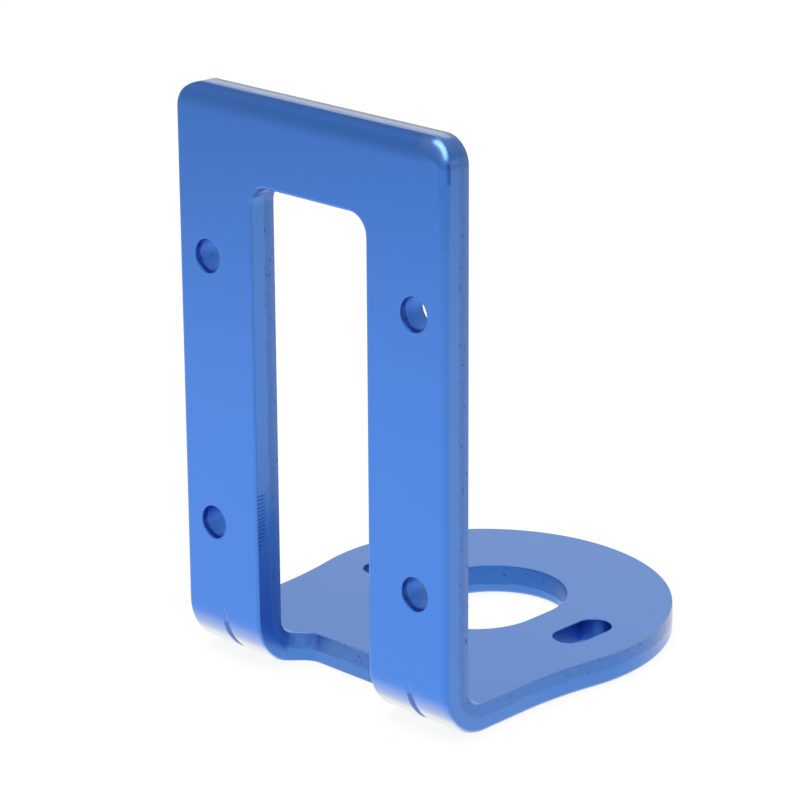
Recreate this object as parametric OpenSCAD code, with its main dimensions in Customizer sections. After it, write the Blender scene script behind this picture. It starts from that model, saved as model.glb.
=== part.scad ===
// Motor mounting bracket: one stamped strip of sheet, folded once into an upright plate and a foot.
// The upright plate is screwed to a machine; the motor hangs on the round foot and can slide a little.
// Units are millimetres, +Z is up, the outer face of the plate looks towards -Y.
// The origin is under the middle of the bounding box, on the underside of the foot.

/* [Sheet] */
// width of the upright plate and of the bend
plate_width = 33.6; // [32.4:0.2:36]
// height from the underside of the foot to the top edge
plate_height = 55.8; // [54:0.2:80]
// thickness of the sheet
sheet = 3.0; // [2.4:0.1:3.2]
// rounding of the two upper corners, seen from the front
corner_r = 2.6; // [2.2:0.1:6]

/* [Bend] */
// radius on the outside of the bend
bend_outer_r = 5.3; // [4.6:0.1:6]
// radius in the inner angle; smaller than outside minus sheet, because the fold thins the sheet
bend_inner_r = 1.7; // [0.8:0.1:2.4]

/* [Window] */
// width of the tall window
window_width = 14.4; // [8:0.2:16]
// metal left above the window
window_head = 8.2; // [6:0.2:12]
// rounding of the window's upper corners
window_r = 2.0; // [1:0.1:3.5]
// how far the window runs into the foot, from the outer face of the plate
window_reach = 5.7; // [5.6:0.1:7]
// rounding of the window's corners in the foot
window_foot_r = 2.2; // [1:0.1:2.6]

/* [Fixing holes] */
// diameter of the four holes in the plate
hole_d = 3.1; // [2.2:0.1:4.2]
// distance between the holes across the plate
hole_pitch_x = 26.0; // [25:0.2:27]
// distance between the holes up the plate
hole_pitch_z = 26.0; // [20:0.5:30]
// height of the lower two holes above the underside
hole_low = 13.9; // [11:0.1:15]

/* [Foot] */
// outer face of the plate to the middle position of the motor shaft
motor_reach = 23.4; // [21:0.2:32]
// how much the round end stands out past the plate on either side
end_overhang = 1.4; // [0.6:0.1:4]
// radius of the hollow curve between the straight side and the round end
flare_r = 42.0; // [30:1:60]

/* [Motor interface] */
// width of the middle opening, for the raised boss of the motor
boss_d = 13.8; // [11:0.1:15.6]
// how far the motor can slide towards or away from the plate
motor_travel = 3.0; // [1:0.1:4]
// distance between the two screw slots
screw_pitch = 25.0; // [23.8:0.1:26.4]
// width of the screw slots
screw_slot_d = 3.3; // [2.4:0.1:4.3]
// extra length of the screw slots over the travel
screw_slot_spare = 0.3; // [0:0.1:1]

/* [Stamped edges] */
// rolled rounding of the cut edges on the outer side, where the punch went in
edge_roll = 0.5; // [0.2:0.05:0.8]
// deeper rolled rounding along the top edge and round the right upper corner
top_roll = 1.15; // [0.8:0.05:1.5]
// rounding of the rims of the small holes
rim_roll = 0.3; // [0.1:0.05:0.4]

/* [Bend marks] */
// distance between the two grooves that the folding tool left round the outside of the bend
mark_pitch = 24.0; // [22:0.2:26]
// depth of each groove
mark_depth = 0.28; // [0.1:0.05:0.5]
// radius of the ridge that pressed the groove
mark_r = 0.4; // [0.3:0.05:0.8]

/* [Show] */
// the sub-part to draw

/* [Hidden] */
$fn = 96;
// how far cutting shapes stand out of the sheet, how far two of them overlap,
// and how far neighbouring curves cross where they would only touch
over = 0.4;
lap = 0.02;
meet = 0.006;
half = plate_width / 2;
window_top = plate_height - window_head;
end_r = half + end_overhang;
depth = motor_reach + end_r;
// the hollow flare runs into the straight side and into the round end, so its centre follows from both
flare_x = half + flare_r - meet;
flare_y = motor_reach - sqrt(pow(end_r + flare_r - meet, 2) - pow(flare_x, 2));
touch_x = flare_x * end_r / (end_r + flare_r);
touch_y = motor_reach + (flare_y - motor_reach) * end_r / (end_r + flare_r);
flare_angle = atan2(touch_y - flare_y, flare_x - touch_x);
end_angle = atan2(touch_y - motor_reach, touch_x);
// where the straight walls of the window end, counted round the bend
window_straight = window_reach - window_foot_r;
window_bend = acos(1 - window_straight / bend_outer_r);

// Places a flat drawing upright: its second direction becomes height, its third goes into the sheet.
module upright() {
    mirror([0, 1, -1]) children();
}

// Draws a thing on the right and its mirror image on the left.
module both_sides() {
    children();
    mirror([1, 0, 0]) children();
}

// Side view of the folded strip.
module fold_profile() {
    difference() {
        square([flare_y, plate_height]);
        translate([sheet + bend_inner_r, sheet]) square([flare_y, plate_height]);
        translate([sheet, sheet + bend_inner_r]) square([flare_y, plate_height]);
        translate([sheet + bend_inner_r, sheet + bend_inner_r]) circle(bend_inner_r);
        difference() {
            translate([-over, -over]) square(bend_outer_r + over);
            translate([bend_outer_r, bend_outer_r]) circle(bend_outer_r);
        }
    }
}

// Plan of the foot beyond its straight sides, before the hollow flares are cut.
module foot_plan() {
    difference() {
        union() {
            translate([-touch_x, flare_y]) square([2 * touch_x, touch_y - flare_y]);
            translate([0, motor_reach]) circle(end_r);
        }
        translate([-end_r, 0]) square([2 * end_r, flare_y]);
    }
}

// Round-cornered opening, open at the bottom.
module opening(w, low, high, r) {
    translate([-w / 2, low]) square([w, high - r - low]);
    translate([-w / 2 + r, low]) square([w - 2 * r, high - low]);
    for (s = [-1, 1]) translate([s * (w / 2 - r), high - r]) circle(r);
}

// Slot with round ends along the second direction, centred.
module slot_plan(d, travel) {
    translate([-d / 2, -travel / 2]) square([d, travel]);
    for (s = [-1, 1]) translate([0, s * travel / 2]) circle(d / 2);
}

// Waste outside a rolled edge: the wall is at 0 across, the face at 0 into the sheet.
module roll_profile(r) {
    difference() {
        translate([-r, -over]) square(r + over);
        translate([-r, r]) circle(r + 0.002, $fn = 48);
    }
}

// Rolled edge along a straight wall that looks towards +X.
module roll_line(length, r) {
    translate([0, length, 0]) rotate([90, 0, 0]) linear_extrude(length) roll_profile(r);
}

// Rolled edge round an outer curve.
module roll_outer(curve, r, from, to) {
    rotate([0, 0, from]) rotate_extrude(angle = to - from) translate([curve, 0]) roll_profile(r);
}

// Rolled edge round an inner curve.
module roll_inner(curve, r, from, to) {
    rotate([0, 0, from]) rotate_extrude(angle = to - from)
        translate([curve, 0]) mirror([1, 0]) roll_profile(r);
}

// Rolled rim of a slot.
module roll_slot(d, travel, r) {
    for (s = [0, 1]) mirror([0, s, 0]) translate([0, travel / 2, 0]) roll_inner(d / 2, r, 0, 180);
    both_sides() translate([-d / 2, -travel / 2, 0]) roll_line(travel, r);
}

// Rolled edge round the outside of the bend, counted in degrees from the plate to the foot.
module roll_bend(r, to) {
    translate([0, bend_outer_r, bend_outer_r]) rotate([0, 90, 0]) rotate([0, 0, -90])
        rotate_extrude(angle = to) translate([bend_outer_r, 0]) rotate([0, 0, 90]) roll_profile(r);
}

// Outer edges of the upright plate. The deep roll of the top edge runs straight out over the left
// corner; on the right it follows the corner for a while and then runs straight on.
module plate_rolls() {
    both_sides() {
        translate([half, bend_outer_r, 0])
            roll_line(plate_height - corner_r - bend_outer_r, edge_roll);
        translate([half - corner_r, plate_height - corner_r, 0]) roll_outer(corner_r, edge_roll, 0, 90);
    }
    translate([half - corner_r + lap, plate_height, 0]) rotate([0, 0, 90])
        roll_line(plate_width - corner_r + lap + over, top_roll);
    translate([half - corner_r, plate_height - corner_r, 0]) rotate([0, 0, 20]) {
        roll_outer(corner_r, top_roll, 0, 70);
        translate([corner_r, -corner_r, 0]) roll_line(corner_r, top_roll);
    }
}

// Outer edges of the foot, on its underside.
module foot_rolls() {
    both_sides() {
        translate([half, bend_outer_r, 0]) roll_line(flare_y - bend_outer_r, edge_roll);
        translate([flare_x, flare_y, 0]) roll_inner(flare_r, edge_roll, 179 - flare_angle, 182, $fn = 360);
    }
    translate([0, motor_reach, 0]) roll_outer(end_r, edge_roll, end_angle, 180 - end_angle);
    translate([0, motor_reach, 0]) roll_slot(boss_d, motor_travel, edge_roll);
    both_sides() translate([screw_pitch / 2, motor_reach, 0])
        roll_slot(screw_slot_d, motor_travel + screw_slot_spare, rim_roll);
}

// Edges of the window on the plate, round the bend, and of its end in the foot.
module window_rolls() {
    upright() {
        both_sides() {
            translate([-window_width / 2, bend_outer_r, 0])
                roll_line(window_top - window_r - bend_outer_r, edge_roll);
            translate([window_width / 2 - window_r, window_top - window_r, 0])
                roll_inner(window_r, edge_roll, 0, 90);
        }
        translate([-window_width / 2 + window_r, window_top, 0]) rotate([0, 0, -90])
            roll_line(window_width - 2 * window_r, edge_roll);
    }
    both_sides() translate([-window_width / 2, 0, 0]) roll_bend(edge_roll, window_bend + 0.5);
    both_sides() translate([window_width / 2 - window_foot_r, window_straight, 0])
        roll_inner(window_foot_r, edge_roll, 0, 90);
    translate([-window_width / 2 + window_foot_r, window_reach, 0]) rotate([0, 0, -90])
        roll_line(window_width - 2 * window_foot_r, edge_roll);
}

// Groove pressed round the outside of the bend; its sweep is wider than the bend, so it runs out at both ends.
module bend_mark() {
    away = 0.9;
    sweep = bend_outer_r - mark_depth + mark_r + away * sqrt(2);
    translate([mark_pitch / 2, bend_outer_r + away, bend_outer_r + away])
        rotate([0, 90, 0]) rotate([0, 0, -90]) rotate_extrude(angle = 90)
            translate([sweep, 0]) circle(mark_r, $fn = 48);
}

// Moves the drawing from the outer face of the plate to the middle of the bounding box.
module centred() {
    translate([0, -depth / 2, 0]) children();
}

module bracket() {
    color([0.2, 0.42, 0.8]) difference() {
        centred() difference() {
            union() {
                translate([-half, 0, 0]) rotate([90, 0, 90]) linear_extrude(plate_width) fold_profile();
                linear_extrude(sheet) foot_plan();
            }
            both_sides() translate([flare_x, flare_y, -over])
                cylinder(h = sheet + 2 * over, r = flare_r, $fn = 360);
        }
        // upper corners of the plate
        centred() upright() both_sides()
            translate([half - corner_r, plate_height - corner_r, -over]) difference() {
                cube([corner_r + over, corner_r + over, sheet + 2 * over]);
                translate([0, 0, -over]) cylinder(h = sheet + 4 * over, r = corner_r);
            }
        // window through plate, bend and foot
        centred() upright() translate([0, 0, -over]) linear_extrude(sheet + bend_inner_r + 2 * over)
            opening(window_width, sheet + bend_inner_r / 2, window_top, window_r);
        centred() translate([0, 0, -over]) linear_extrude(sheet + bend_inner_r + 2 * over)
            opening(window_width, -over, window_reach, window_foot_r);
        // fixing holes
        centred() upright() both_sides() for (z = [hole_low, hole_low + hole_pitch_z])
            translate([hole_pitch_x / 2, z, 0]) {
                translate([0, 0, -over]) cylinder(h = sheet + 2 * over, d = hole_d);
                roll_inner(hole_d / 2, rim_roll, 0, 360);
            }
        // motor openings
        centred() translate([0, motor_reach, -over]) linear_extrude(sheet + 2 * over) {
            slot_plan(boss_d, motor_travel);
            both_sides() translate([screw_pitch / 2, 0])
                slot_plan(screw_slot_d, motor_travel + screw_slot_spare);
        }
        // rolled edges and bend marks
        centred() upright() plate_rolls();
        centred() both_sides() translate([half, 0, 0]) roll_bend(edge_roll, 90);
        centred() foot_rolls();
        centred() window_rolls();
        centred() both_sides() bend_mark();
    }
}

bracket();
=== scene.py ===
# Dresses the stamped and folded motor bracket: blue anodised skin, white table, soft light.
import math
import bpy
import numpy as np
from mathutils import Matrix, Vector
from mathutils.geometry import delaunay_2d_cdt


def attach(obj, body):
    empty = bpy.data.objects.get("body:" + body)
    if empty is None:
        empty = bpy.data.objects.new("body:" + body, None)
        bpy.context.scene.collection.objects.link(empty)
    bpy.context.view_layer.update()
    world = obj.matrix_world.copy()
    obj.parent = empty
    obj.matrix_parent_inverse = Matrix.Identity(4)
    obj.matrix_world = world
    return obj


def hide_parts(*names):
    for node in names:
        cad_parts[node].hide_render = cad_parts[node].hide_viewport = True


mm = 0.001
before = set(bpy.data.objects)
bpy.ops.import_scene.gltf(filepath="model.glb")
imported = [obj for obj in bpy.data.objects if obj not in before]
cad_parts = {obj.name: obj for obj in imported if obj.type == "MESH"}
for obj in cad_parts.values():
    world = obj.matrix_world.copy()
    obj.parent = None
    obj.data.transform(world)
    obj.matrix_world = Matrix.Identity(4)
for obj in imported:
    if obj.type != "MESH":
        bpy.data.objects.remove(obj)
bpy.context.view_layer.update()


def emptyTree(owner):
    owner.use_nodes = True
    owner.node_tree.nodes.clear()
    return owner.node_tree


def addNode(tree, kind, links=None, **settings):
    # makes one node; a link is either another node's output or a plain value for that socket
    node = tree.nodes.new(kind)
    for name, value in settings.items():
        setattr(node, name, value)
    for key, value in (links or {}).items():
        socket = node.inputs[key]
        if isinstance(value, bpy.types.NodeSocket):
            tree.links.new(value, socket)
        else:
            socket.default_value = value
    return node


def mathNode(tree, operation, *values):
    node = addNode(tree, "ShaderNodeMath", dict(enumerate(values)), operation=operation)
    return node.outputs[0]


def rampNode(tree, value, first, last, start=0.0, end=1.0, kind="SMOOTHSTEP"):
    # goes from start to end while the value goes from first to last
    node = addNode(tree, "ShaderNodeMapRange", {
        "Value": value, "From Min": first, "From Max": last, "To Min": start, "To Max": end},
        interpolation_type=kind)
    return node.outputs[0]


# the photo's viewpoint, solved from the edges of plate, window, holes and foot
photoCamera = {
    "place": (0.20249, -0.21837, 0.12674),    # metres, in the part's own frame
    "turn": (70.9357, 0.2949, 43.9513),       # degrees
    "lens": 150.13, "film": 36.0,             # mm
    "near": 0.01,                             # nothing closer than this shows, in metres
}


def makeCamera(c):
    data = bpy.data.cameras.new("photoCamera")
    data.lens, data.sensor_width, data.clip_start = c["lens"], c["film"], c["near"]
    camera = bpy.data.objects.new("photoCamera", data)
    camera.location = c["place"]
    camera.rotation_euler = [math.radians(a) for a in c["turn"]]
    bpy.context.scene.collection.objects.link(camera)
    bpy.context.scene.camera = camera
    print("stage: camera")


# white table: full white to the eye, a little shade kept; in mirrors it glows, less further out
table = {
    "size": 6.0,            # m across
    "paint": 0.86,
    "shadeShare": 0.1,      # how much of the real shade still shows
    "nearGlow": 0.95,       # what the metal sees beside the part
    "farGlow": 0.52,        # and what it sees far out
    "glowCentre": (0.025, 0, 0),
    "nearReach": 0.10,
    "farReach": 0.30,
}


def makeTable(t):
    half = t["size"] / 2
    corners = [(-half, -half, 0), (half, -half, 0), (half, half, 0), (-half, half, 0)]
    mesh = bpy.data.meshes.new("table")
    mesh.from_pydata(corners, [], [(0, 1, 2, 3)])
    obj = bpy.data.objects.new("table", mesh)
    bpy.context.scene.collection.objects.link(obj)
    material = bpy.data.materials.new("whiteTable")
    tree = emptyTree(material)
    out = addNode(tree, "ShaderNodeOutputMaterial")
    path = addNode(tree, "ShaderNodeLightPath")
    where = addNode(tree, "ShaderNodeTexCoord")
    away = addNode(tree, "ShaderNodeVectorMath", {0: where.outputs["Object"], 1: t["glowCentre"]},
                   operation="DISTANCE").outputs["Value"]
    fade = rampNode(tree, away, t["nearReach"], t["farReach"], t["nearGlow"], t["farGlow"])
    seen = mathNode(tree, "MULTIPLY", path.outputs["Is Camera Ray"], 1 - t["shadeShare"])
    mirrored = path.outputs["Is Glossy Ray"]
    paint = addNode(tree, "ShaderNodeBsdfDiffuse", {"Color": (t["paint"],) * 3 + (1,)})
    white = addNode(tree, "ShaderNodeEmission", {"Color": (1, 1, 1, 1)})
    glow = addNode(tree, "ShaderNodeEmission", {"Color": (1, 1, 1, 1), "Strength": fade})
    first = addNode(tree, "ShaderNodeMixShader", {0: seen, 1: paint.outputs[0], 2: white.outputs[0]})
    second = addNode(tree, "ShaderNodeMixShader", {0: mirrored, 1: first.outputs[0], 2: glow.outputs[0]})
    tree.links.new(second.outputs[0], out.inputs[0])
    mesh.materials.append(material)
    print("stage: table")


# studio room: white to the eye, plain grey as light; mirrors see a grey room with a few soft patches,
# each of which adds its light round one direction and fades out between two angles, in degrees
room = {
    "light": 0.55,
    "mirrored": 0.6,
    "lastDepth": 2.5,      # the room counts a ray one bounce further: patches show in first mirrorings only
    "patches": {
        "stripFar": {"towards": (-0.32, -0.26, 0.91), "full": 4, "gone": 14, "adds": 2.2},
        "stripLeft": {"towards": (-0.08, -0.23, 0.97), "full": 4, "gone": 20, "adds": 2.4},
        "stripMiddle": {"towards": (0.25, -0.33, 0.91), "full": 4, "gone": 20, "adds": 2.3},
        "stripRight": {"towards": (0.55, -0.42, 0.72), "full": 4, "gone": 20, "adds": 2.3},
        "darkLeft": {"towards": (-0.75, -0.35, 0.55), "full": 40, "gone": 75, "adds": -0.15},
        "darkTop": {"towards": (-0.646, 0.12, 0.755), "full": 8, "gone": 28, "adds": -0.15},
        "paleRear": {"towards": (-0.642, 0.694, 0.326), "full": 15, "gone": 40, "adds": 0.16},
        "darkRear": {"towards": (0.70, 0.60, 0.38), "full": 8, "gone": 24, "adds": -0.14},
        "paleRight": {"towards": (0.70, 0.70, 0.06), "full": 6, "gone": 15, "adds": 0.3},
    },
}


def makeRoom(r):
    world = bpy.data.worlds.new("room")
    bpy.context.scene.world = world
    tree = emptyTree(world)
    out = addNode(tree, "ShaderNodeOutputWorld")
    path = addNode(tree, "ShaderNodeLightPath")
    towards = addNode(tree, "ShaderNodeTexCoord").outputs["Generated"]
    direct = mathNode(tree, "LESS_THAN", path.outputs["Ray Depth"], r["lastDepth"])
    total = r["mirrored"]
    for patch in r["patches"].values():
        aim = Vector(patch["towards"]).normalized()
        along = addNode(tree, "ShaderNodeVectorMath", {0: towards, 1: aim},
                        operation="DOT_PRODUCT").outputs["Value"]
        gone, full = (math.cos(math.radians(patch[name])) for name in ("gone", "full"))
        fade = rampNode(tree, along, gone, full, 0.0, patch["adds"])
        total = mathNode(tree, "MULTIPLY_ADD", fade, direct, total)
    base = addNode(tree, "ShaderNodeMix", {"Factor": path.outputs["Is Glossy Ray"], "A": r["light"],
                   "B": total}, data_type="FLOAT")
    strength = addNode(tree, "ShaderNodeMix", {"Factor": path.outputs["Is Camera Ray"],
                       "A": base.outputs[0], "B": 1.0}, data_type="FLOAT")
    sky = addNode(tree, "ShaderNodeBackground", {"Color": (1, 1, 1, 1), "Strength": strength.outputs[0]})
    tree.links.new(sky.outputs[0], out.inputs[0])
    print("stage: room")


# soft lamps: place and aim in metres, edge length in metres, power in watts
lamps = {
    "overhead": {"place": (-0.1, -0.1, 0.7), "aim": (0, 0, 0.02), "size": 0.6, "power": 6.0},
    "rearRight": {"place": (0.45, 0.45, 0.35), "aim": (0, 0, 0.03), "size": 0.3, "power": 1.5},
}


def makeLamps(plan):
    for name, l in plan.items():
        data = bpy.data.lights.new(name, "AREA")
        data.energy, data.size = l["power"], l["size"]
        obj = bpy.data.objects.new(name, data)
        place, aim = np.array(l["place"]), np.array(l["aim"])
        towards = (aim - place) / np.linalg.norm(aim - place)
        obj.location = place
        obj.rotation_euler = (math.acos(-towards[2]), 0, math.atan2(towards[1], towards[0]) - math.pi / 2)
        obj.visible_glossy = False      # their mirror images are the room's soft patches
        bpy.context.scene.collection.objects.link(obj)
    print("stage: lamps")


# the skin's finishes, painted highlights, reflection and shade among them; each point of the mesh carries its
# share of every one
finishNames = ("cut", "torn", "rimWearAndHighlight", "paintedHighlight", "foldReflection", "grooveShade", "ragged", "shadeAndNicks", "inner", "chatter", "inside")

# blue anodised sheet; the colours are those of the metal seen square on
anodised = {
    "dye": (0.045, 0.245, 0.87),            # the outer face
    "cutDye": (0.05, 0.215, 0.66),          # the punch's smooth cut
    "tornDye": (0.047, 0.205, 0.63),        # the torn part of the cut
    "rimWearAndHighlightDye": (0.10, 0.23, 0.60),          # the paler strip at the far edge: wear, with the rounded edge's highlight painted in
    "paintedHighlightDye": (0.44, 0.58, 0.95),          # painted highlights on edges and on the up-facing torn band
    "dullHighlightDye": (0.24, 0.26, 0.34),          # the same painted highlight, duller where the far edge's paler strip is
    "foldReflectionDye": (0.94, 0.93, 0.88),          # painted reflection of the white table on the outside of the fold
    "grooveShadeDye": (0.09, 0.22, 0.54),          # painted shade in the grooves
    "speckDye": (0.015, 0.095, 0.46),       # specks, patches and chatter
    "shadeAndNicksDye": (0.02, 0.10, 0.46),          # painted shade inside slots and holes and down the right corner's crease; the dark nicks
    "innerDye": (0.062, 0.265, 0.86),       # deep in the round holes
    "insideDye": (0.040, 0.268, 0.86),      # the inside face
    # spots: size of the noise per metre, its detail, and the values where a spot starts and is full
    "specks": (2300, 2.0, 0.63, 0.74),      # dark specks of the torn walls
    "patches": (900, 3.0, 0.48, 0.62),      # dark patches low in the window
    "speckShare": 0.8,
    # the punch's chatter low in the window: step between lines in metres, soft edge in mm, share of the dark
    # dye, and the values of the wave where a line starts and is full; noise of this size bends the lines by
    # up to this many radians
    "chatter": {"step": 0.000371, "soft": 0.15, "share": 0.85, "line": (-0.3, 0.7),
                "noise": (1300, 1.0), "uneven": 3.0},
    # bumps: size of the noise per metre, its detail, and its height in metres
    "grain": (5200, 2.0, 0.000004),         # the sheet's fine grain
    "tear": (1900, 3.0, 0.00003),           # the torn walls' roughness
    "roughness": 0.32,
    "tornRoughness": 0.5,
    "dullCoat": 0.3,
    "coatRoughness": 0.18,
    "coatIndex": 1.5,
}


def makeAnodised(a):
    material = bpy.data.materials.new("anodisedSheet")
    tree = emptyTree(material)
    out = addNode(tree, "ShaderNodeOutputMaterial")
    share = {name: addNode(tree, "ShaderNodeAttribute", attribute_name=name).outputs["Fac"]
             for name in finishNames}
    where = addNode(tree, "ShaderNodeTexCoord").outputs["Object"]

    def noise(size, detail):
        links = {"Vector": where, "Scale": size, "Detail": detail}
        return addNode(tree, "ShaderNodeTexNoise", links).outputs[0]

    def times(first, second):
        return mathNode(tree, "MULTIPLY", first, second)

    def blend(factor, first, second):
        return addNode(tree, "ShaderNodeMix", {0: factor, 6: first, 7: second}, data_type="RGBA").outputs[2]

    def dye(name):
        return a[name] + (1,)

    colour = dye("dye")
    for name in ("cut", "inside", "shadeAndNicks", "torn", "inner", "rimWearAndHighlight"):
        colour = blend(share[name], colour, dye(name + "Dye"))
    size, detail, first, last = a["specks"]
    speck = times(times(rampNode(tree, noise(size, detail), first, last), a["speckShare"]), share["torn"])
    size, detail, first, last = a["patches"]
    patch = times(rampNode(tree, noise(size, detail), first, last), share["ragged"])
    # chatter: dark lines at even heights, a little uneven, where the chatter's own share is above nought
    c = a["chatter"]
    height = addNode(tree, "ShaderNodeSeparateXYZ", {0: where}).outputs["Z"]
    uneven = times(noise(*c["noise"]), c["uneven"])
    phase = mathNode(tree, "MULTIPLY_ADD", height, 2 * math.pi / c["step"], uneven)
    lines = rampNode(tree, mathNode(tree, "SINE", phase), *c["line"], 0.0, c["share"])
    chatter = times(lines, rampNode(tree, share["chatter"], 0.0, c["soft"], kind="LINEAR"))
    for dark in (speck, patch, chatter):
        colour = blend(dark, colour, dye("speckDye"))
    # rubbed edges are bare metal, and dull burr where the wall is worn
    # painted highlights, duller where they meet the far edge's paler strip
    colour = blend(share["paintedHighlight"], colour, blend(share["rimWearAndHighlight"], dye("paintedHighlightDye"), dye("dullHighlightDye")))
    # painted reflection on the fold, painted shade in the grooves
    for name in ("foldReflection", "grooveShade"):
        colour = blend(share[name], colour, dye(name + "Dye"))
    # the coat is dull where shade is painted in holes, slots, the crease line and the grooves, on the nicks,
    # on the ragged tear, on specks and on the chatter
    dull = share["shadeAndNicks"]
    for other in (share["ragged"], share["grooveShade"], speck, chatter):
        dull = mathNode(tree, "MAXIMUM", dull, other)
    coat = mathNode(tree, "MULTIPLY_ADD", dull, a["dullCoat"] - 1, 1.0)
    # two heights: the grain everywhere, the tear where the wall is torn
    size, detail, rise = a["grain"]
    grain = addNode(tree, "ShaderNodeBump", {
        "Height": noise(size, detail), "Strength": 1.0, "Distance": rise}).outputs[0]
    size, detail, rise = a["tear"]
    normal = addNode(tree, "ShaderNodeBump", {
        "Height": noise(size, detail), "Strength": share["torn"], "Distance": rise,
        "Normal": grain}).outputs[0]
    rough = mathNode(tree, "MULTIPLY_ADD", share["torn"], a["tornRoughness"] - a["roughness"], a["roughness"])
    shader = addNode(tree, "ShaderNodeBsdfPrincipled", {
        "Base Color": colour, "Metallic": 1.0, "Roughness": rough,
        "Coat Weight": coat, "Coat Roughness": a["coatRoughness"],
        "Coat IOR": a["coatIndex"], "Normal": normal})
    tree.links.new(shader.outputs[0], out.inputs[0])
    return material


# the bracket's own sizes, all in mm; the y of the plan is counted from the outer face of the plate
bracketPlan = {
    "sheet": 3.0, "outerRadius": 5.3, "innerRadius": 1.7,
    "plateHalf": 16.8, "plateHeight": 55.8, "cornerRadius": 2.6,
    "windowWidth": 14.4, "windowTop": 47.6, "windowRadius": 2.0,
    "windowReach": 5.7, "windowFootRadius": 2.2,
    "holeWidth": 3.1, "holeSide": 13.0, "holeHeights": (13.9, 39.9),
    "motorReach": 23.4, "endRadius": 18.19, "flareRadius": 42.0, "originReach": 20.8,
    "bossWidth": 13.8, "travel": 3.0, "screwSide": 12.5, "screwWidth": 3.3, "screwTravel": 3.3,
}

# the cut walls as punch and die left them, in mm
cutEdge = {
    "spacing": 0.34,          # between two points along an edge
    "roundSpacing": 0.6,      # in corners and slots, as a share of the spacing
    "crease": 70,             # how far the rolled edge turns before it meets the cut wall, in degrees
    "roll": 0.45, "windowRoll": 0.22, "rimRoll": 0.10,      # how deep the rolled edges reach into the sheet
    # depth of the roll against the length up the side, round the corner and on along the top
    "rightRoll": ((-7.0, 0.45), (-1.3, 0.62), (0.4, 0.62), (1.0, 0.66), (1.6, 0.80), (2.2, 0.94),
                  (3.1, 1.02), (4.2, 1.15)),
    "leftRoll": ((10.3, 0.32), (13.0, 1.15)),
    # the top leans back over its whole left end, straight out over the corner; between two places
    # along x the edge's own roll takes over
    "lean": 1.15, "leanEnds": (-4.0, 8.0), "leanCorner": 3.0,
    "deepRoll": (0.5, 0.4, 0.6),      # rolls from this depth on start slower: over this depth, by this power
    "smooth": 0.55,           # share of the thickness that the punch left smooth
    "smoothSlots": 0.36, "smoothHoles": 0.22, "smoothFoot": 0.45,
    "leastSmooth": 0.12,      # width of the smooth part where the roll is deepest
    "cutFrom": (25, 65),      # where on a small roll the cut wall's finish sets in, in degrees
    "cutRoll": (0.5, 0.3),    # rolls from this depth on have the face's finish, after a fade over this depth
    "wander": (0.035, 7.0),   # how far the smooth part's end wanders, in thicknesses, and its longest wave
    "tornWave": (0.006, 1.3),         # how far the torn part sways, and its longest wave
    "step": 0.012, "stepDeep": 0.05,  # the torn part stands back by this much, over this depth
    "taper": 0.02, "taperHoles": 0.15,
    "rim": 0.09,              # rounding of the far edge
    "rimWearAndHighlight": (0.62, 0.25),     # the paler strip at the plate's far edges, wear with a painted highlight: its width, and the width of its fade
    "wornEnd": 3,             # the length over which that strip fades out below the plate
}

# a wall's rows from the outside in: 0 to 8 the roll, 9 to 12 smooth, 13 to 15 the step, 16 to 19 torn and
# 20 to 23 the far edge's rounding, of which the last lies in the inside face
rollRows, tornRows, rimRows = slice(0, 9), slice(14, 23), slice(20, 23)

# grooves that the folding tool pressed round the outside of the bend, in mm, and the painted shade line in
# them: its half width, its soft edge, its shift, and the angle where it starts and its fade, in degrees
bendMark = {"places": (-11.78, 12.2), "depth": 0.28, "radius": 0.4, "away": 0.9, "soft": 0.03,
            "dark": 0.25, "edge": 0.1, "aside": 0.14, "from": 13, "fade": 2}

# share of the painted reflection of the white table on the fold, against the angle round the fold from its
# nearer end
foldReflectionTable = ((10, 0.0), (18, 0.15), (25, 0.27), (31, 0.45), (38, 0.88), (45, 0.9))


def softStep(t):
    # 3 t2 - 2 t3 between 0 and 1
    t = np.clip(t, 0, 1)
    return t * t * (3 - 2 * t)


def planToStrip(y):
    # the length along the strip is R times the angle inside the bend, and plain distance after it
    r = bracketPlan["outerRadius"]
    inBend = -r * np.arccos(np.clip(1 - np.asarray(y, float) / r, 0, 1))
    return np.where(np.asarray(y) < r, inBend, -(np.asarray(y) - r) - r * np.pi / 2)


def foldOver(x, s, depth):
    # a point at depth d under the outside lies on the ray to the bend's centre:
    # centre - (R - d) (cos a, sin a), with a = -s / R held between 0 and 90 degrees; the rest of s runs on
    r = bracketPlan["outerRadius"]
    angle = np.clip(-s / r, 0, np.pi / 2)
    up, along = np.maximum(s, 0), np.maximum(-s - r * np.pi / 2, 0)
    y = r - (r - depth) * np.cos(angle) + along
    z = r - (r - depth) * np.sin(angle) + up
    return np.stack([x + 0 * angle, y, z], -1)


def outsideNormal(s):
    # -(cos a, sin a) across the fold
    angle = np.clip(-s / bracketPlan["outerRadius"], 0, np.pi / 2)
    return np.stack([0 * angle, -np.cos(angle), -np.sin(angle)], -1)


def thicknessAt(s):
    # distance along that ray to the inside: to one of the two flats, or to the inner arc, whichever it meets
    p = bracketPlan
    r, angle = p["outerRadius"], np.clip(-s / p["outerRadius"], 0, np.pi / 2)
    c, n = np.cos(angle), np.sin(angle)
    offset = r - p["sheet"] - p["innerRadius"]
    within = (offset * (c + n)) ** 2 - 2 * offset ** 2 + p["innerRadius"] ** 2
    arc = offset * (c + n) + np.sqrt(np.maximum(within, 0))
    flat = (r - p["sheet"]) / np.maximum(np.maximum(c, n), 1e-9)
    onFlat = flat * np.minimum(c, n) <= offset
    return r - np.where(onFlat, flat, arc)


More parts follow.
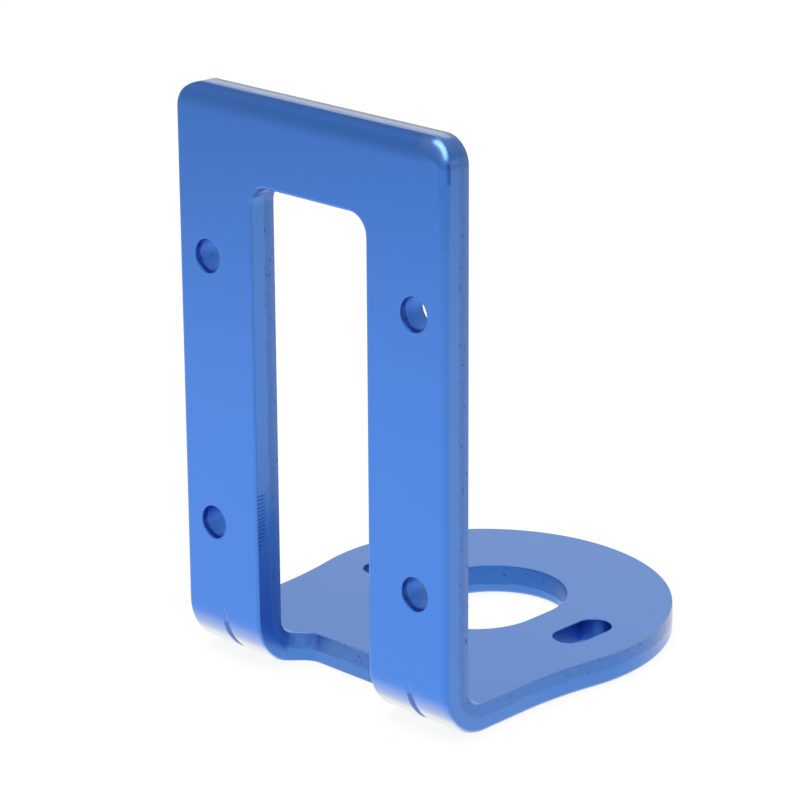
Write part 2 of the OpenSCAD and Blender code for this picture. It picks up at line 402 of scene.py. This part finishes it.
def insideLength(point):
    # length along the inside, 0 where the upright flat ends: up the plate, round the small arc, out again
    p = bracketPlan
    edge, r = p["sheet"] + p["innerRadius"], p["innerRadius"]
    y, z = point[..., 1], point[..., 2]
    angle = np.arctan2(edge - z, edge - y)
    return np.where(z >= edge, z - edge, np.where(y >= edge, -(y - edge) - r * np.pi / 2, -r * angle))


def insidePoint(x, w):
    # the other way round: centre - r (cos a, sin a) on the small arc, with a = -w / r, straight on both sides
    p = bracketPlan
    edge, r = p["sheet"] + p["innerRadius"], p["innerRadius"]
    angle = np.clip(-w / r, 0, np.pi / 2)
    up, along = np.maximum(w, 0), np.maximum(-w - r * np.pi / 2, 0)
    return np.stack([x + 0 * angle, edge - r * np.cos(angle) + along, edge - r * np.sin(angle) + up], -1)


def insideNormal(w):
    # (cos a, sin a) across the fold
    angle = np.clip(-w / bracketPlan["innerRadius"], 0, np.pi / 2)
    return np.stack([0 * angle, np.cos(angle), np.sin(angle)], -1)


def line(start, end, spacing):
    # start + (end - start) k / n, without the end itself
    start, end = np.array(start, float), np.array(end, float)
    count = max(1, int(np.ceil(np.linalg.norm(end - start) / spacing)))
    return start + (end - start) * np.arange(count)[:, None] / count


def arc(centre, radius, first, last, spacing):
    # a round stretch: centre + radius (cos a, sin a), with at least a point every six degrees
    sweep = abs(math.radians(last - first))
    count = max(2, int(np.ceil(sweep * radius / spacing)), int(np.ceil(math.degrees(sweep) / 6)))
    angle = np.radians(first + (last - first) * np.arange(count) / count)
    return np.stack([centre[0] + radius * np.cos(angle), centre[1] + radius * np.sin(angle)], -1)


def outlinePath(p, c):
    # round the flat strip with the metal on the left: foot end, right flare, side, top, left side and flare
    gap, half, corner = c["spacing"], p["plateHalf"], p["cornerRadius"]
    roundGap = gap * c["roundSpacing"]
    top = p["plateHeight"] - p["outerRadius"]
    endAt = float(planToStrip(p["motorReach"]))
    flareX = half + p["flareRadius"]
    reach = math.sqrt((p["endRadius"] + p["flareRadius"]) ** 2 - flareX ** 2)
    flareAt = endAt + reach
    tilt = math.degrees(math.atan2(reach, flareX))
    path = [arc((0, endAt), p["endRadius"], -180 - tilt, tilt, gap),
            arc((flareX, flareAt), p["flareRadius"], 180 + tilt, 180, gap),
            line((half, flareAt), (half, top - corner), gap),
            arc((half - corner, top - corner), corner, 0, 90, roundGap),
            line((half - corner, top), (corner - half, top), gap),
            arc((corner - half, top - corner), corner, 90, 180, roundGap),
            line((-half, top - corner), (-half, flareAt), gap),
            arc((-flareX, flareAt), p["flareRadius"], 0, -tilt, gap)]
    return np.concatenate(path)


def outlineRoll(path, p, c):
    # the depth goes in straight steps between the listed lengths; the length is 0 where the corner begins
    top, corner, half = p["plateHeight"] - p["outerRadius"], p["cornerRadius"], p["plateHalf"]
    x, up = np.abs(path[:, 0]), path[:, 1] - (top - corner)
    angle = np.arctan2(up, x - (half - corner))
    onTop = corner * np.pi / 2 + half - corner - x
    length = np.where(up < 0, up, np.where(x > half - corner, corner * angle, onTop))
    right, left = (np.interp(length, *np.transpose(c[name])) for name in ("rightRoll", "leftRoll"))
    first, last = c["leanEnds"]
    own = np.maximum(1 - softStep(length / c["leanCorner"]), softStep((path[:, 0] - first) / (last - first)))
    return np.where(path[:, 0] > 0, right, left), own


def rollSection(r, c, every=8):
    # section of a roll of depth r: along its length t it turns by crease t^power, so its back run is the
    # integral of the cosine and its depth that of the sine, both scaled to end at r; deep rolls start slower.
    # Returns how far each point stands back from the wall, its depth and its turn, at every eighth step
    deep, over, more = c["deepRoll"]
    power = 1 + more * softStep((r - deep) / over)
    turn = math.radians(c["crease"]) * np.linspace(0, 1, 65)[None, :] ** power[:, None]
    middle = (turn[:, 1:] + turn[:, :-1]) / 2
    back, down = (np.concatenate([0 * r[:, None], np.cumsum(f(middle), 1)], 1) for f in (np.cos, np.sin))
    size = r[:, None] / down[:, -1:]
    return ((back[:, -1:] - back) * size)[:, ::every], (down * size)[:, ::every], turn[:, ::every]


def leanDepth(x, s, c):
    # the same section laid over the face itself: its depth at each drop below the top edge, gone along x
    back, down, turn = rollSection(np.array([c["lean"]]), c, 1)
    first, last = c["leanEnds"]
    drop = bracketPlan["plateHeight"] - bracketPlan["outerRadius"] - s
    return np.interp(drop, back[0, ::-1], down[0, ::-1]) * (1 - softStep((x - first) / (last - first)))


def windowPath(p, c):
    # round the window with the metal on the left: top, right side through the bend, end in the foot, left
    gap, half, r, foot = c["spacing"], p["windowWidth"] / 2, p["windowRadius"], p["windowFootRadius"]
    roundGap = gap * c["roundSpacing"]
    top, straight = p["windowTop"] - p["outerRadius"], p["windowReach"] - foot
    low = float(planToStrip(straight))

    def inFoot(points):
        return np.stack([points[:, 0], planToStrip(points[:, 1])], -1)

    path = [line((r - half, top), (half - r, top), gap),
            arc((half - r, top - r), r, 90, 0, roundGap),
            line((half, top - r), (half, low), gap),
            inFoot(arc((half - foot, straight), foot, 0, 90, roundGap)),
            inFoot(line((half - foot, p["windowReach"]), (foot - half, p["windowReach"]), gap)),
            inFoot(arc((foot - half, straight), foot, 90, 180, roundGap)),
            line((-half, low), (-half, top - r), gap),
            arc((r - half, top - r), r, 180, 90, roundGap)]
    return np.concatenate(path)


def windowInside(path, p):
    # inner ends of the window's walls: upright in the foot; along the bend the small arc is shared out
    # evenly, so that its length, from the plate down to where the corners begin, goes with the angle outside
    straight = p["windowReach"] - p["windowFootRadius"]
    edge, r = p["sheet"] + p["innerRadius"], p["innerRadius"]
    low = float(planToStrip(straight))
    y = foldOver(path[:, 0], path[:, 1], 0 * path[:, 1])[:, 1]
    first, last = p["outerRadius"] - edge, -r * math.acos((edge - straight) / r)
    shared = first + (last - first) * path[:, 1] / low
    upright = np.where(y < edge, -r * np.arccos(np.clip((edge - y) / r, -1, 1)), -(y - edge) - r * np.pi / 2)
    w = np.where(path[:, 1] >= 0, path[:, 1] + first, np.where(path[:, 1] >= low, shared, upright))
    return insidePoint(path[:, 0], w)


def slotPath(centreX, at, width, travel, gap):
    # round a slot, or a hole of no travel, with the metal on the left; it runs along the strip
    r = width / 2
    high, low = at + travel / 2, at - travel / 2
    path = [arc((centreX, high), r, 180, 0, gap), arc((centreX, low), r, 0, -180, gap)]
    if travel > 0:
        path.insert(1, line((centreX + r, high), (centreX + r, low), gap))
        path.append(line((centreX - r, low), (centreX - r, high), gap))
    return np.concatenate(path)


def wander(path, seed, longest):
    # slow random rise and fall along a closed path: a sum of sines of falling size, each of which fits round
    # it a whole number of times
    rng = np.random.default_rng(seed)
    length = np.cumsum(np.linalg.norm(path - np.roll(path, 1, 0), axis=1))
    order = np.arange(1, 9)
    turns = np.maximum(1, np.round(length[-1] / (longest / order)))
    phase = rng.uniform(0, 2 * np.pi, len(order))
    waves = np.sin(2 * np.pi * turns * length[:, None] / length[-1] + phase) / order ** 0.6
    return waves.sum(1) / 2.2      # stays about between -1 and 1


def foldReflectionShare(s):
    # straight steps between the listed angles, the same from both ends of the fold
    angle = np.degrees(np.clip(-s / bracketPlan["outerRadius"], 0, np.pi / 2))
    return np.interp(np.minimum(angle, 90 - angle), *np.transpose(foldReflectionTable))


def wallAlong(path, roll, smoothShare, inside, p, c, seed, own=1.0):
    # a profile carried along the path. From the outside: the roll, which turns as far as the crease and is r
    # deep, the smooth wall, a small step back, the torn wall, which leans away, and the small rounding of the
    # far edge. a is how far each row stands back into the metal, b how deep it lies; own is the share of the
    # roll's depth that is its own, the rest is the lean of the face. The seed starts the wandering lines
    ahead, behind = np.roll(path, -1, 0), np.roll(path, 1, 0)
    along = ahead - behind
    along /= np.linalg.norm(along, axis=1)[:, None]
    into = np.stack([-along[:, 1], along[:, 0]], -1)
    thick = thicknessAt(path[:, 1])[:, None]
    own = (own + 0 * roll)[:, None]
    back, down, turn = rollSection(roll, c)
    rollX, rollS = path[:, :1] + into[:, :1] * back, path[:, 1:] + into[:, 1:] * back
    down = down * own + leanDepth(rollX, rollS, c)
    r = down[:, -1:]
    far, longest = c["wander"]
    tornFrom = thick * (smoothShare + far * wander(path, seed, longest))[:, None]
    tornFrom = np.maximum(tornFrom, r + c["leastSmooth"])
    sway, longest = c["tornWave"]
    tornWave = (sway * wander(path, seed + 50, longest))[:, None]
    rimFrom = thick - c["rim"]
    # where the rows lie, as shares of each stretch; the sway is greatest half way down the torn part
    share = np.array([0.02, 0.35, 0.7, 1.0])[None, :]
    stepShare = np.array([0.35, 0.75, 1.0])[None, :]
    tornShare = np.array([0.25, 0.5, 0.75, 1.0])[None, :]
    rimTurn = np.radians([22.5, 45, 67.5, 90])[None, :]
    step, deep, taper, rim = c["step"], c["stepDeep"], c["taper"], c["rim"]
    a = np.concatenate([back, 0 * r * share, step * stepShare + 0 * r,
                        step + taper * tornShare + tornWave * tornShare * (1 - tornShare) * 4,
                        step + taper + rim * (1 - np.cos(rimTurn)) + 0 * r], 1)
    b = np.concatenate([down, r + (tornFrom - r) * share, tornFrom + deep * stepShare,
                        tornFrom + deep + (rimFrom - tornFrom - deep) * tornShare,
                        rimFrom + rim * np.sin(rimTurn)], 1)
    x = path[:, :1] + into[:, :1] * a
    s = path[:, 1:] + into[:, 1:] * a
    point = foldOver(x, s, b)
    if inside is not None:      # the wall's inner end goes to its given place, the rows between in proportion
        drift = inside - foldOver(path[:, 0], path[:, 1], thick[:, 0])
        point = point + drift[:, None, :] * (b / thick)[..., None]
    point[:, -1] = insidePoint(point[:, -1, 0], insideLength(point[:, -1]))
    # shares of the finishes, row by row: cut wall, painted reflection on the fold, torn wall, and the paler
    # strip at the far edge, which is wear with a painted highlight
    low, full = c["cutFrom"]
    deepRoll, over = c["cutRoll"]
    early = softStep((np.degrees(turn) - low) / (full - low)) * own
    early = early * (1 - softStep((roll[:, None] - deepRoll) / over))
    wall = {name: 0 * b for name in finishNames}
    wall["cut"] += 1
    wall["cut"][:, rollRows] = early
    wall["cut"][:, -1] = 0
    wall["foldReflection"][:, rollRows] = foldReflectionShare(s[:, rollRows]) * (1 - early)
    wall["torn"][:, tornRows] = 1
    width, fade = c["rimWearAndHighlight"]
    onPlate = softStep(path[:, 1:] / c["wornEnd"] + 1)
    wall["rimWearAndHighlight"] = softStep((b - thick + width) / fade) * onPlate * (wall["cut"] > 0)
    wall["inside"][:, -1] = 1
    wall.update(point=point, path=path, depth=b, outsideFlat=np.stack([x[:, 0], s[:, 0]], -1))
    return wall


pointsAtOnce = 2000      # keeps the arrays of the next two functions small


def insideLoops(points, loops):
    # a point is inside where a line from it towards +x crosses the closed loops an odd number of times
    crossed = np.zeros(len(points), int)
    for loop in loops:
        a, b = loop, np.roll(loop, -1, 0)
        slope = (b[:, 0] - a[:, 0]) / np.where(b[:, 1] == a[:, 1], 1, b[:, 1] - a[:, 1])
        for first in range(0, len(points), pointsAtOnce):
            p = points[first:first + pointsAtOnce, None]
            spans = (a[None, :, 1] > p[..., 1]) != (b[None, :, 1] > p[..., 1])
            at = a[None, :, 0] + (p[..., 1] - a[None, :, 1]) * slope[None]
            crossed[first:first + pointsAtOnce] += (spans & (at > p[..., 0])).sum(1)
    return crossed % 2 == 1


def clearOf(points, loops, gap):
    # keeps the points that stand at least a gap away from every point of the loops
    edge = np.concatenate(loops)
    keep = np.ones(len(points), bool)
    for first in range(0, len(points), pointsAtOnce):
        p = points[first:first + pointsAtOnce, None]
        keep[first:first + pointsAtOnce] = ((p - edge[None]) ** 2).sum(2).min(1) > gap ** 2
    return points[keep]


def fillBetween(loops, extra):
    # triangles between closed loops, through the extra points; corners count the loops' points first
    points = np.concatenate(loops + [extra])
    edges, start = [], 0
    for loop in loops:
        ring = np.arange(len(loop)) + start
        edges.append(np.stack([ring, np.roll(ring, -1)], -1))
        start += len(loop)
    corners = [Vector(p) for p in points.tolist()]
    found = delaunay_2d_cdt(corners, np.concatenate(edges).tolist(), [], 0, 1e-6)
    original = np.array([o[0] if o else -1 for o in found[3]])
    triangles = original[np.array(found[2])]
    a, b, c = (points[triangles[:, k]] for k in range(3))
    turned = (b[:, 0] - a[:, 0]) * (c[:, 1] - a[:, 1]) - (b[:, 1] - a[:, 1]) * (c[:, 0] - a[:, 0]) < 0
    triangles[turned] = triangles[turned][:, ::-1]
    return triangles[insideLoops((a + b + c) / 3, loops)]


def grid(xs, ys, stagger=0.0):
    # rows of points; every second row is shifted by the stagger
    x, y = np.meshgrid(xs, ys)
    x = x + stagger * (np.arange(len(ys)) % 2)[:, None]
    return np.stack([x.ravel(), y.ravel()], -1)


def grooveDepth(x, s, m):
    # the tool's round ridge follows an arc whose centre lies a little further in than the bend's, so it meets
    # the bend at rho = -e (cos a + sin a) + sqrt(e2 (cos a + sin a)2 + R2 - 2 e2) and dips in by
    # sqrt(q2 - dx2) - (rho - r)
    r, e, q = bracketPlan["outerRadius"], m["away"], m["radius"]
    sweep = r - m["depth"] + q + e * math.sqrt(2)
    angle = np.clip(-s / r, 0, np.pi / 2)
    both = np.cos(angle) + np.sin(angle)
    rho = -e * both + np.sqrt((e * both) ** 2 + sweep ** 2 - 2 * e * e)
    dx = np.min([np.abs(x - place) for place in m["places"]], 0)
    dip = np.sqrt(np.maximum(q * q - dx * dx, 0)) - np.maximum(dx - q, 0) - (rho - r)
    return m["soft"] * np.logaddexp(0, dip / m["soft"])


def grooveShadeShare(x, s, m):
    # the painted shade line in the groove: flat across, with soft edges and abrupt ends
    angle = np.degrees(np.clip(-s / bracketPlan["outerRadius"], 0, np.pi / 2))
    dx = np.min([np.abs(x - place + m["aside"]) for place in m["places"]], 0)
    ends = softStep((np.minimum(angle, 90 - angle) - m["from"]) / m["fade"])
    return softStep((m["dark"] - dx) / m["edge"] + 0.5) * ends


def outsideSurface(flat, c, m):
    # the outer side pushed in along its normal by the lean and the grooves; the normal turns by their slopes
    def depthAt(x, s):
        inBend = (s < 0) & (s > -bracketPlan["outerRadius"] * np.pi / 2)
        return grooveDepth(x, s, m) * inBend + leanDepth(x, s, c)

    x, s, h = flat[:, 0], flat[:, 1], 0.01      # h is the step for the slopes, in mm
    slopeX = (depthAt(x + h, s) - depthAt(x - h, s)) / (2 * h)
    slopeS = (depthAt(x, s + h) - depthAt(x, s - h)) / (2 * h)
    angle = np.clip(-s / bracketPlan["outerRadius"], 0, np.pi / 2)
    alongS = np.stack([0 * angle, -np.sin(angle), np.cos(angle)], -1)
    normal = outsideNormal(s) + slopeX[:, None] * np.array([1, 0, 0]) + slopeS[:, None] * alongS
    return foldOver(x, s, depthAt(x, s)), normal / np.linalg.norm(normal, axis=1)[:, None]


# wear and painted light that set single stretches of the walls apart: shares, the rows that have them, and
# lengths in mm
wearAndPaintedLight = {
    # low in the window the tear is ragged, more so at its left end; starts and fades go down and to the left
    "ragged": {"low": 2, "lowFade": 3, "share": 0.1, "left": 3, "leftFade": 2, "leftMore": 0.3},
    # a painted shade line down the crease beside the right upper corner; heights from where the corner begins
    "creaseShade": {"up": (-1.1, 0.75), "rows": {6: 0.4, 7: 0.8, 8: 0.8}},
    # the right upper corner's roll gets a painted highlight near the crease, which whitens it
    "cornerHighlight": {"fade": 1.2, "up": 0.5, "rows": (0, 0, 0, 0.05, 0.12, 0.18, 0.2, 0.2, 0.15)},
    # two short nicks across the window's left upper corner
    "nicks": {"across": 0.9, "down": 1.1, "rows": {3: 0.8, 4: 0.8, 9: 0.5, 10: 0.5}},
    # chatter on the window's left wall: how deep it reaches into the sheet, against the height
    "chatter": {"reach": ((6.5, 0.0), (8.4, 1.2), (12.5, 1.2), (12.9, 0.0)), "rows": slice(7, 13)},
    "farEdgeHighlight": {"share": 0.6, "fade": 2},      # painted highlight along the far edge round the fold and the foot
    "holeRows": slice(4, 23),                  # painted shade in holes from their roll on, in slots where they are torn
    "screwTorn": 0.25,                         # less torn colour, so more painted shade shows in the screw slots
    "upFacingHighlight": {"facing": 0.88, "fade": 0.1, "deep": 1.5},      # painted highlight on the torn band near the top, where it faces up
}


def paintWallWearAndLight(around, within, p, d):
    # adds their wear, painted highlights and painted shade to the outline's wall and the window's
    outline, window = around["path"], within["path"]
    plan = d["ragged"]
    low = softStep((-window[:, 1] - plan["low"]) / plan["lowFade"])[:, None]
    left = softStep((-window[:, :1] - plan["left"]) / plan["leftFade"])
    within["ragged"] = (plan["share"] + plan["leftMore"] * left) * low * within["torn"]

    creaseShade, nicks = d["creaseShade"], d["nicks"]
    up = outline[:, 1] - (p["plateHeight"] - p["outerRadius"] - p["cornerRadius"])
    lowest, highest = creaseShade["up"]
    beside = (outline[:, 0] > 0) & (up < highest) & (up > lowest)
    cornerX, cornerS = -p["windowWidth"] / 2, p["windowTop"] - p["outerRadius"]
    crossed = (window[:, 0] < cornerX + nicks["across"]) & (window[:, 1] > cornerS - nicks["down"])
    for wall, there, rows in ((around, beside, creaseShade["rows"]), (within, crossed, nicks["rows"])):
        for row, share in rows.items():
            wall["shadeAndNicks"][there, row] = share

    # painted highlight on the right upper corner's roll
    plan = d["cornerHighlight"]
    cornerHighlight = softStep((outline[:, 0] - p["plateHalf"] + p["cornerRadius"]) / plan["fade"] + 1)
    cornerHighlight = cornerHighlight * softStep(up - plan["up"])
    around["paintedHighlight"][:, rollRows] = cornerHighlight[:, None] * np.array(plan["rows"])

    plan, never = d["chatter"], -1.0      # below nought, so that its edge between two rows stays sharp
    reach = np.where(window[:, 0] > 0, never, np.interp(window[:, 1], *np.transpose(plan["reach"])))
    shown = np.maximum(reach[:, None] - within["depth"][:, plan["rows"]], never)
    within["chatter"] += never
    within["chatter"][:, plan["rows"]] = shown

    # painted highlight along the far edge
    plan = d["farEdgeHighlight"]
    for wall in (around, within):
        wall["paintedHighlight"][:, rimRows] = plan["share"] * softStep(-wall["path"][:, 1:] / plan["fade"] + 0.5)


def makeWalls(p, c, d):
    # the outline's wall, the window's, then those of the slots and holes
    outline, window = outlinePath(p, c), windowPath(p, c)
    inFoot = softStep(planToStrip(p["windowReach"] - p["windowFootRadius"]) - window[:, 1])
    windowSmooth = c["smooth"] + (c["smoothFoot"] - c["smooth"]) * inFoot
    windowRoll, innerEnds = c["windowRoll"] + 0 * window[:, 0], windowInside(window, p)
    roll, own = outlineRoll(outline, p, c)
    around = wallAlong(outline, roll, c["smooth"] + 0 * outline[:, 0], None, p, c, seed=1, own=own)
    within = wallAlong(window, windowRoll, windowSmooth, innerEnds, p, c, seed=2)
    paintWallWearAndLight(around, within, p, d)

    # slots and holes: their place, width and travel, and the depth of their roll
    walls, sides, motorAt = [around, within], (-1, 1), float(planToStrip(p["motorReach"]))
    slots = [(0, motorAt, p["bossWidth"], p["travel"], c["roll"])]
    slots += [(side * p["screwSide"], motorAt, p["screwWidth"], p["screwTravel"], c["rimRoll"])
              for side in sides]
    slots += [(side * p["holeSide"], height - p["outerRadius"], p["holeWidth"], 0, c["rimRoll"])
              for side in sides for height in p["holeHeights"]]
    for seed, (x, at, width, travel, roll) in enumerate(slots, 10):
        path = slotPath(x, at, width, travel, c["spacing"] * c["roundSpacing"])
        smooth = c["smoothSlots"] if travel else c["smoothHoles"]
        tapered = dict(c, taper=c["taper"] if travel else c["taperHoles"])
        wall = wallAlong(path, roll + 0 * path[:, 0], smooth + 0 * path[:, 0], None, p, tapered, seed)
        # painted shade inside slots and holes
        wall["shadeAndNicks"][:, tornRows if travel else d["holeRows"]] = 1.0
        wall["inner"][:, tornRows] = 0.0 if travel else 1.0
        wall["torn"] *= d["screwTorn"] if width == p["screwWidth"] else 1.0
        walls.append(wall)
    return walls


# points inside the two big faces, in mm: far apart on the flats, close in the bend, in the grooves and where
# the top leans back
faceGrid = {
    "flat": (2.0, 1.8), "stagger": 1.0, "flatTop": 2.7,      # steps across and along, ending below the lean
    "outerBend": 0.6, "innerBend": 0.4,                      # how far the flats' points keep from the bend
    "top": (0.9, 0.16), "topStagger": 0.45, "topDeep": 2.6,
    "bend": 0.8, "outerRows": 61, "innerRows": 21,
    "groove": 0.8, "grooveColumns": 33, "grooveClear": 1.0,
    "outerClear": 0.2, "innerClear": 0.1,                    # how far all of them keep from the edges
}


def facePoints(p, m, g, outerRing, innerRing):
    # staggered rows on plate and foot, rows across the bend, and for the outer face closer ones at the top
    # and columns along the grooves; those outside the edges or too close to them are dropped
    half, top = p["endRadius"], p["plateHeight"] - p["outerRadius"]
    end = float(planToStrip(p["motorReach"])) - half
    outerLength, innerLength = p["outerRadius"] * np.pi / 2, p["innerRadius"] * np.pi / 2
    wide, tall = g["flat"]
    columns, across = np.arange(-half, half, wide), np.arange(-half, half, g["bend"])

    def flats(bendLength, away):
        # one grid on the plate, one on the foot
        return np.concatenate([grid(columns, np.arange(away, top, tall), g["stagger"]),
                               grid(columns, np.arange(end, -bendLength - away, tall), g["stagger"])])

    outer, inner = flats(outerLength, g["outerBend"]), flats(innerLength, g["innerBend"])
    outer = outer[outer[:, 1] < top - g["flatTop"]]
    wide, tall = g["top"]
    atTop = grid(np.arange(-half, half, wide), np.arange(top - g["topDeep"], top, tall), g["topStagger"])
    beside = across[np.min([np.abs(across - place) for place in m["places"]], 0) > g["grooveClear"]]
    groove = np.linspace(-g["groove"], g["groove"], g["grooveColumns"])
    fine = np.concatenate([place + groove for place in m["places"]])
    outerBend = grid(np.sort(np.concatenate([beside, fine])), np.linspace(0, -outerLength, g["outerRows"]))
    innerBend = grid(across, np.linspace(0, -innerLength, g["innerRows"]))
    outer, inner = np.concatenate([outer, atTop, outerBend]), np.concatenate([inner, innerBend])
    return (clearOf(outer[insideLoops(outer, outerRing)], outerRing, g["outerClear"]),
            clearOf(inner[insideLoops(inner, innerRing)], innerRing, g["innerClear"]))


def makeSkin(p, c, m, d, g, material):
    # the walls along all edges, and two faces that fill the sheet between them, outside and inside
    walls = makeWalls(p, c, d)
    outerRing = [w["outsideFlat"] for w in walls]
    innerRing = [np.stack([w["point"][:, -1, 0], insideLength(w["point"][:, -1])], -1) for w in walls]
    outerExtra, innerExtra = facePoints(p, m, g, outerRing, innerRing)
    outerTriangles = fillBetween(outerRing, outerExtra)
    innerTriangles = fillBetween(innerRing, innerExtra)[:, ::-1]

    # one numbering for all points: first the walls, then the points inside the two big faces
    rows, counts = walls[0]["point"].shape[1], [len(w["path"]) for w in walls]
    starts = np.cumsum([0] + [rows * n for n in counts])
    outer = slice(starts[-1], starts[-1] + len(outerExtra))
    inner = slice(outer.stop, outer.stop + len(innerExtra))
    edge = np.concatenate([start + rows * np.arange(n) for start, n in zip(starts, counts)])
    outerIndex = np.concatenate([edge, np.arange(outer.start, outer.stop)])
    innerIndex = np.concatenate([edge + rows - 1, np.arange(inner.start, inner.stop)])
    faces = outerIndex[outerTriangles].tolist() + innerIndex[innerTriangles].tolist()
    for start, n in zip(starts, counts):
        i, j = np.meshgrid(np.arange(n), np.arange(rows - 1), indexing="ij")
        here, after = start + i * rows + j, start + (i + 1) % n * rows + j
        faces += np.stack([here, here + 1, after + 1, after], -1).reshape(-1, 4).tolist()

    # normals: the faces have their own, the walls get the cross product of their two directions
    points, normals = [], []
    for w in walls:
        grow = np.gradient(w["point"], axis=1)
        onward = np.roll(w["point"], -1, 0) - np.roll(w["point"], 1, 0)
        normal = np.cross(grow, onward)
        normal /= np.linalg.norm(normal, axis=2)[..., None]
        normal[:, 0] = outsideSurface(w["outsideFlat"], c, m)[1]
        normal[:, -1] = insideNormal(insideLength(w["point"][:, -1]))
        points.append(w["point"].reshape(-1, 3))
        normals.append(normal.reshape(-1, 3))
    outerPoint, outerNormal = outsideSurface(outerExtra, c, m)
    points += [outerPoint, insidePoint(innerExtra[:, 0], innerExtra[:, 1])]
    normals += [outerNormal, insideNormal(innerExtra[:, 1])]
    points, normals = np.concatenate(points), np.concatenate(normals)
    points[:, 1] -= p["originReach"]      # from the outer face to the frame's own origin

    mesh = bpy.data.meshes.new("foldedSheet")
    mesh.from_pydata((points * mm).tolist(), [], faces)
    mesh.shade_smooth()
    mesh.normals_split_custom_set_from_vertices(normals.tolist())
    onFaces = np.zeros(len(outerExtra) + len(innerExtra))
    shares = {name: np.concatenate([w[name].ravel() for w in walls] + [onFaces]) for name in finishNames}
    shares["inside"][inner] = 1.0
    shares["foldReflection"][outer] = foldReflectionShare(outerExtra[:, 1])
    shares["grooveShade"][outer] = grooveShadeShare(outerExtra[:, 0], outerExtra[:, 1], m)
    # painted highlight where the torn wall near the top faces up
    plan = d["upFacingHighlight"]
    facingUp = softStep((normals[:, 2] - plan["facing"]) / plan["fade"])
    shares["paintedHighlight"] += shares["torn"] * facingUp * (points[:, 2] > p["plateHeight"] - plan["deep"])
    for name, values in shares.items():
        mesh.attributes.new(name, "FLOAT", "POINT").data.foreach_set("value", values)
    mesh.materials.append(material)
    skin = bpy.data.objects.new("folded_sheet", mesh)
    bpy.context.scene.collection.objects.link(skin)
    print("stage: skin,", len(points), "points,", sum(len(f) - 2 for f in faces), "triangles")
    return skin


makeCamera(photoCamera)
makeTable(table)
makeRoom(room)
makeLamps(lamps)
sheet = makeAnodised(anodised)
skin = makeSkin(bracketPlan, cutEdge, bendMark, wearAndPaintedLight, faceGrid, sheet)
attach(skin, "root")
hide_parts("bracket")

bpy.context.scene.view_settings.view_transform = "Standard"
